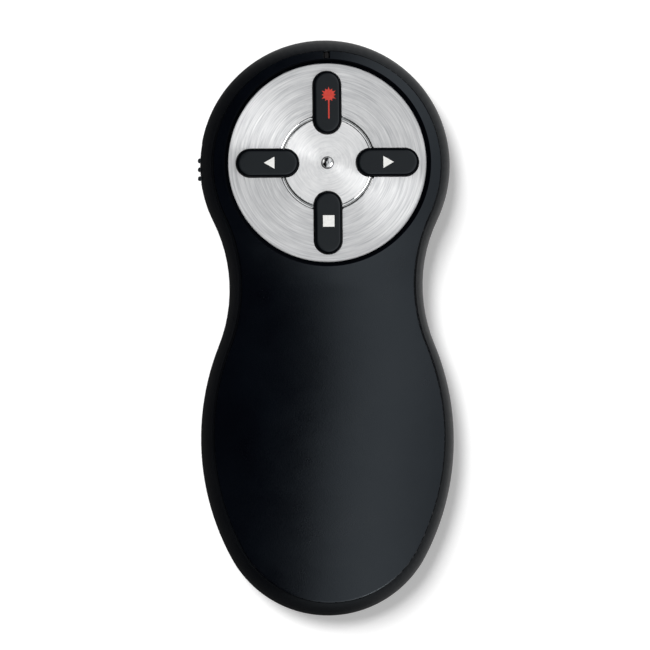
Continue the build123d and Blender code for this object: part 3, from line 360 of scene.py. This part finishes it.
def inCentre(face):  # the disc inside its groove, brushed lighter
    return face.normal.z > edges["flatSlope"] and fromDisc(face.calc_center_median()) < edges["grooveIn"]


def atKeyEdge(face):  # the rounded edge of a key, painted darker than its satin top as painted shade
    return face.normal.z < edges["keySlope"]


def atStudFoot(face):  # the dome's foot, painted darker where it turns down to the disc as a painted reflection of the dark gap
    return face.normal.z < edges["studSlope"]


def onBase(face):  # the flat foot of the housing, moulded with a coarser grain than its flanks and painted a lighter grey as fill light
    return max(v.co.z for v in face.verts) < edges["flatFoot"]


def atCellEnd(face):  # the bare metal ends of a cell
    return abs(face.normal.y) > edges["capShare"]


accentsOf = {
    "top_cover": [(paintedShadeAbs, inPocket), (paintedShadeAbs, atSeam)],
    "trim_disc": [(turnedGroove, inGroove), (paintedShadeAbs, inKeySlot), (spunCentre, inCentre)],
    "centre_stud": [(studFootPaintedReflection, atStudFoot)],
    "lower_housing": [(footAbsPaintedFill, onBase)],
    "left_cell": [(nickelSheet, atCellEnd)], "right_cell": [(nickelSheet, atCellEnd)],
}
for symbol in keySymbols:
    accentsOf[f"{symbol}_key"] = [(paintedShadeAbs, atKeyEdge)]


def smoothShell(name, accents):
    # accents are (material, pick) pairs, each for the faces that its pick() chooses
    mesh = bmesh.new()
    mesh.from_mesh(nodes[name].data)
    bmesh.ops.remove_doubles(mesh, verts=mesh.verts, dist=shells["mergeAt"])
    for face in mesh.faces:
        face.smooth = True
        face.material_index = next((i for i, (material, pick) in enumerate(accents, 1) if pick(face)), 0)
    for edge in mesh.edges:
        if len(edge.link_faces) == 2 and edge.calc_face_angle() > math.radians(shells["sharpDegrees"]):
            edge.smooth = False
    piece = makePiece(name + "Shell", mesh, finishes[name], *(material for material, pick in accents))
    weighted = piece.modifiers.new("evenNormals", "WEIGHTED_NORMAL")
    weighted.keep_sharp = True
    weighted.weight = shells["normalWeight"]
    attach(piece, bodyOf[name])
    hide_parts(name)


for name in shells["names"]:
    smoothShell(name, accentsOf.get(name, ()))
print("shells smoothed")

# fine ridge turned in the bottom of the disc's groove, four arcs between the keys
ridge = {"radius": 9.1 * mm, "halfWidth": 0.11 * mm, "foot": 0.3 * mm, "top": 0.12 * mm, "fromDegrees": 19.1,
         "turnDegrees": 51.8, "steps": 26, "sharpDegrees": 30}
mesh = bmesh.new()
for quarter in range(4):
    corners = [mesh.verts.new((ridge["radius"] + side * ridge["halfWidth"], 0, -ridge[level]))
               for side, level in ((-1, "foot"), (0, "top"), (1, "foot"))]
    section = mesh.faces.new(corners)
    start = math.radians(90 * quarter + ridge["fromDegrees"])
    bmesh.ops.rotate(mesh, verts=corners, cent=(0, 0, 0), matrix=Matrix.Rotation(start, 3, "Z"))
    bmesh.ops.spin(mesh, geom=[section], cent=(0, 0, 0), axis=(0, 0, 1), steps=ridge["steps"],
                   angle=math.radians(ridge["turnDegrees"]), use_merge=False)
bmesh.ops.recalc_face_normals(mesh, faces=mesh.faces)
bmesh.ops.translate(mesh, vec=(discCentre.x, discCentre.y, discTop), verts=mesh.verts)
for face in mesh.faces:
    face.smooth = len(face.verts) == 4  # the end caps stay flat
for edge in mesh.edges:
    edge.smooth = edge.calc_face_angle(0) < math.radians(ridge["sharpDegrees"])
piece = makePiece("grooveRidge", mesh, turnedGroove)
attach(piece, bodyOf["trim_disc"])
print("ridge turned")

# printed symbols, thin films on the key tops, a little off the middles of their keys
symbols = {"film": 0.02 * mm, "beamFilm": 0.024 * mm, "sink": 0.01 * mm, "triangleLength": 2.05 * mm,
           "triangleWidth": 2.35 * mm, "square": 2.25 * mm, "burstRadius": 1.05 * mm,
           "burstTips": (1.6 * mm, 1.4 * mm), "burstSpikes": 12, "stemWidth": 0.28 * mm,
           "stemLength": 3.6 * mm,
           "shifts": {"laser_key": (0.3 * mm, 1.45 * mm), "back_key": (0.3 * mm, 0),
                      "forward_key": (0.15 * mm, 0), "stop_key": (0.07 * mm, 0.3 * mm)}}


def addPrint(name, key, mesh, material, drop=0, film=symbols["film"]):
    # a flat shape round the origin becomes a film on the key's top, drop below the symbol's middle
    low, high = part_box(key)
    centre = (low + high) / 2 + Vector((*symbols["shifts"][key], 0)) - Vector((0, drop, 0))
    for face in mesh.faces:
        if face.normal.z < 0:
            face.normal_flip()
    risen = bmesh.ops.extrude_face_region(mesh, geom=mesh.faces[:])
    bmesh.ops.translate(mesh, vec=(0, 0, symbols["sink"] + film),
                        verts=[g for g in risen["geom"] if isinstance(g, bmesh.types.BMVert)])
    bmesh.ops.recalc_face_normals(mesh, faces=mesh.faces)
    bmesh.ops.triangulate(mesh, faces=[f for f in mesh.faces if len(f.verts) > 4])
    bmesh.ops.translate(mesh, vec=(centre.x, centre.y, high.z - symbols["sink"]), verts=mesh.verts)
    piece = makePiece(name, mesh, material)
    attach(piece, key)


mesh = bmesh.new()
bmesh.ops.create_grid(mesh, x_segments=1, y_segments=1, size=symbols["square"] / 2)
addPrint("stopSquare", "stop_key", mesh, whiteInk)

for symbol, way in (("back", -1), ("forward", 1)):
    mesh = bmesh.new()
    bmesh.ops.create_circle(mesh, cap_ends=True, segments=3, radius=1)
    tip = max(v.co.y for v in mesh.verts)
    base = min(v.co.y for v in mesh.verts)
    broad = max(v.co.x for v in mesh.verts)
    for v in mesh.verts:  # the tip points along the key
        v.co = Vector((way * ((v.co.y - base) / (tip - base) - 0.5) * symbols["triangleLength"],
                       v.co.x / broad * symbols["triangleWidth"] / 2, 0))
    mesh.normal_update()
    addPrint(f"{symbol}Triangle", f"{symbol}_key", mesh, whiteInk)

mesh = bmesh.new()
bmesh.ops.create_circle(mesh, cap_ends=True, segments=3 * symbols["burstSpikes"], radius=symbols["burstRadius"])
for turn, v in enumerate(mesh.verts[:][::3]):  # every third corner is drawn out, long and short by turns
    v.co *= symbols["burstTips"][turn % 2] / symbols["burstRadius"]
addPrint("laserBurst", "laser_key", mesh, redInk)

mesh = bmesh.new()
bmesh.ops.create_grid(mesh, x_segments=1, y_segments=1, size=0.5)
bmesh.ops.scale(mesh, vec=(symbols["stemWidth"], symbols["stemLength"], 1), verts=mesh.verts)
addPrint("laserBeam", "laser_key", mesh, redInk, drop=symbols["burstRadius"] + symbols["stemLength"] / 2,
         film=symbols["beamFilm"])
print("symbols printed")


def directRays(tree, at):
    # the light path, and 1 for what is seen straight, through glass or in gloss
    path = addNode(tree, "ShaderNodeLightPath", at=at)
    clear = addNode(tree, "ShaderNodeMath", {"operation": "MAXIMUM"},
                    {0: (path, "Is Camera Ray"), 1: (path, "Is Transmission Ray")}, (at[0] + 200, at[1]))
    seen = addNode(tree, "ShaderNodeMath", {"operation": "MAXIMUM"},
                   {0: (clear, "Value"), 1: (path, "Is Glossy Ray")}, (at[0] + 400, at[1]))
    return path, seen


# seamless white paper that keeps the shadow; the lift makes up for the lamp's fall-off further out
paper = {"size": 6.0, "drop": 0.05 * mm, "colour": "#EEEEEE", "rough": 0.9, "nearLift": 0.27, "farLift": 0.9,
         "farAt": 1.5, "cardLean": (0.97, 0.25, 0), "cardFull": -0.02, "cardEnd": 0.03, "cardLeft": 0.94,
         "cardRight": 0.4}


def addFloor():
    material, tree, shader = startMaterial("paperFloor", {
        "Base Color": linearColour(paper["colour"]), "Roughness": paper["rough"], "Specular IOR Level": 0.0,
        "Emission Color": (1, 1, 1, 1)})
    coords = addNode(tree, "ShaderNodeTexCoord", at=(-800, -100))
    reach = addNode(tree, "ShaderNodeVectorMath", {"operation": "LENGTH"}, {"Vector": (coords, "Object")},
                    (-600, -100))
    lift = addNode(tree, "ShaderNodeMapRange",
                   {"From Max": paper["farAt"], "To Min": paper["nearLift"], "To Max": paper["farLift"]},
                   {"Value": (reach, "Value")}, (-400, -100))
    path, seen = directRays(tree, (-600, -400))
    glow = addNode(tree, "ShaderNodeMath", {"operation": "MULTIPLY"},
                   {0: (lift, "Result"), 1: (seen, "Value")}, (0, -300))
    tree.links.new(glow.outputs["Value"], shader.inputs["Emission Strength"])
    # a black card lies on the paper at the left and a thin grey one at the right, seen only in gloss,
    # so the housing's left flank stays dark and the right one doesn't glare
    along = addNode(tree, "ShaderNodeVectorMath", {"operation": "DOT_PRODUCT", 1: paper["cardLean"]},
                    {0: (coords, "Object")}, (-400, 500))
    card = addNode(tree, "ShaderNodeMapRange",
                   {"interpolation_type": "SMOOTHSTEP", "From Min": paper["cardFull"],
                    "From Max": paper["cardEnd"], "To Min": paper["cardLeft"], "To Max": paper["cardRight"]},
                   {"Value": (along, "Value")}, (-200, 500))
    shaded = addNode(tree, "ShaderNodeMath", {"operation": "MULTIPLY"},
                     {0: (card, "Result"), 1: (path, "Is Glossy Ray")}, (0, 500))
    black = addNode(tree, "ShaderNodeBsdfDiffuse", {"Color": (0, 0, 0, 1)}, at=(0, 300))
    carded = addNode(tree, "ShaderNodeMixShader",
                     links={0: (shaded, "Value"), 1: (shader, "BSDF"), 2: (black, "BSDF")}, at=(600, 400))
    # the paper is clear from below, so the underside can be looked at
    side = addNode(tree, "ShaderNodeNewGeometry", at=(600, 300))
    nothing = addNode(tree, "ShaderNodeBsdfTransparent", at=(600, 150))
    sheet = addNode(tree, "ShaderNodeMixShader",
                    links={0: (side, "Backfacing"), 1: (carded, "Shader"), 2: (nothing, "BSDF")}, at=(800, 100))
    tree.links.new(sheet.outputs["Shader"], tree.nodes["Material Output"].inputs["Surface"])
    mesh = bmesh.new()
    bmesh.ops.create_grid(mesh, x_segments=1, y_segments=1, size=paper["size"])
    bmesh.ops.translate(mesh, vec=(0, 0, -paper["drop"]), verts=mesh.verts)
    makePiece("floor", mesh, material)


discPieces = ("trim_discShell", "centre_studShell", "grooveRidge")
lamps = {
    # a high soft lamp up and to the left throws the shadow
    "shadowLamp": {"size": 0.26, "power": 8.4, "at": (-0.23, 0.23, 0.95), "diffuse": True, "glossy": False,
                   "only": ()},
    # two low ones face to face reach only the disc and its stud, and draw the fans on the brushed metal
    "rightLamp": {"size": 0.8, "power": 12.5, "at": (0.83, -0.36, 0.26), "diffuse": False, "glossy": True,
                  "only": discPieces},
    "leftLamp": {"size": 0.8, "power": 2.0, "at": (-0.83, 0.36, 0.26), "diffuse": False, "glossy": True,
                 "only": discPieces},
    # one behind the tail draws a fine light line on the cover's edge
    "edgeLamp": {"size": 0.2, "power": 0.9, "at": (0.45, -0.67, 0.42), "diffuse": False, "glossy": True,
                 "only": ("top_coverShell",)},
}


def addLamp(name, look):
    lamp = bpy.data.lights.new(name, "AREA")
    lamp.shape, lamp.size = "DISK", look["size"]
    lamp.energy = look["power"]
    holder = bpy.data.objects.new(name, lamp)
    holder.location = look["at"]
    holder.rotation_mode = "QUATERNION"
    holder.rotation_quaternion = (-Vector(look["at"])).to_track_quat("-Z", "Y")
    holder.visible_diffuse, holder.visible_glossy = look["diffuse"], look["glossy"]
    if look["only"]:
        reached = bpy.data.collections.new(name + "Reach")
        for piece in look["only"]:
            reached.objects.link(bpy.data.objects[piece])
        holder.light_linking.receiver_collection = reached
    bpy.context.scene.collection.objects.link(holder)


addFloor()
for name, look in lamps.items():
    addLamp(name, look)
print("floor and lamps set")

# white paper all round at strength 1, fainter as plain fill light; in gloss a black flag stands on the left,
# which shades the crowned cover from side to side
room = {"fill": 0.25, "lean": (0.97, -0.25, 0.0),
        "flag": [(0.40, "#000000"), (0.465, "#4A4D50"), (0.52, "#C0C3C5"), (0.62, "#F8FAFC"),
                 (0.72, "#F8FAFC"), (0.80, "#E2E5E8"), (0.845, "#C4C7CA"), (0.9, "#AEB1B4")]}
world = bpy.data.worlds.new("studio")
bpy.context.scene.world = world
world.use_nodes = True
tree = world.node_tree
tree.nodes.clear()
path, seen = directRays(tree, (-600, 400))
strength = addNode(tree, "ShaderNodeMapRange", {"To Min": room["fill"], "To Max": 1.0},
                   {"Value": (seen, "Value")}, (0, 400))
way = addNode(tree, "ShaderNodeTexCoord", at=(-800, 0))
across = addNode(tree, "ShaderNodeVectorMath", {"operation": "DOT_PRODUCT", 1: room["lean"]},
                 {0: (way, "Generated")}, (-600, 0))
half = addNode(tree, "ShaderNodeMath", {"operation": "MULTIPLY_ADD", 1: 0.5, 2: 0.5},  # from -1..1 to 0..1
               {0: (across, "Value")}, (-400, 0))
flag = addNode(tree, "ShaderNodeValToRGB", {"stops": room["flag"]}, {"Fac": (half, "Value")}, (-200, 0))
wallColour = addNode(tree, "ShaderNodeMix", {"data_type": "RGBA", 6: (1, 1, 1, 1)},
                     {0: (path, "Is Glossy Ray"), 7: (flag, "Color")}, (100, 0))
walls = addNode(tree, "ShaderNodeBackground",
                links={"Color": (wallColour, 2), "Strength": (strength, "Result")}, at=(300, 0))
addNode(tree, "ShaderNodeOutputWorld", links={"Surface": (walls, "Background")}, at=(500, 0))

# from above, a touch from the left and turned a little; the frame's width is measured at its height
view = {"distance": 0.600, "leftDegrees": 2.8, "frameWidth": 0.130, "frameHeight": 0.011,
        "turnDegrees": 0.556, "centreX": -0.0003, "centreY": 0.0006, "sensorMm": 36}
rise = view["distance"] - view["frameHeight"]
camera = bpy.data.cameras.new("camera")
camera.sensor_width = view["sensorMm"]
camera.lens = view["sensorMm"] * rise / view["frameWidth"]
holder = bpy.data.objects.new("camera", camera)
target = Vector((view["centreX"], view["centreY"], view["frameHeight"]))
holder.matrix_world = (Matrix.Translation(target)
                       @ Matrix.Rotation(math.radians(-view["turnDegrees"]), 4, "Z")
                       @ Matrix.Rotation(-math.radians(view["leftDegrees"]), 4, "Y")
                       @ Matrix.Translation((0, 0, rise)))
bpy.context.scene.collection.objects.link(holder)
bpy.context.scene.camera = holder
bpy.context.scene.view_settings.view_transform = "Standard"
print("room and camera set")
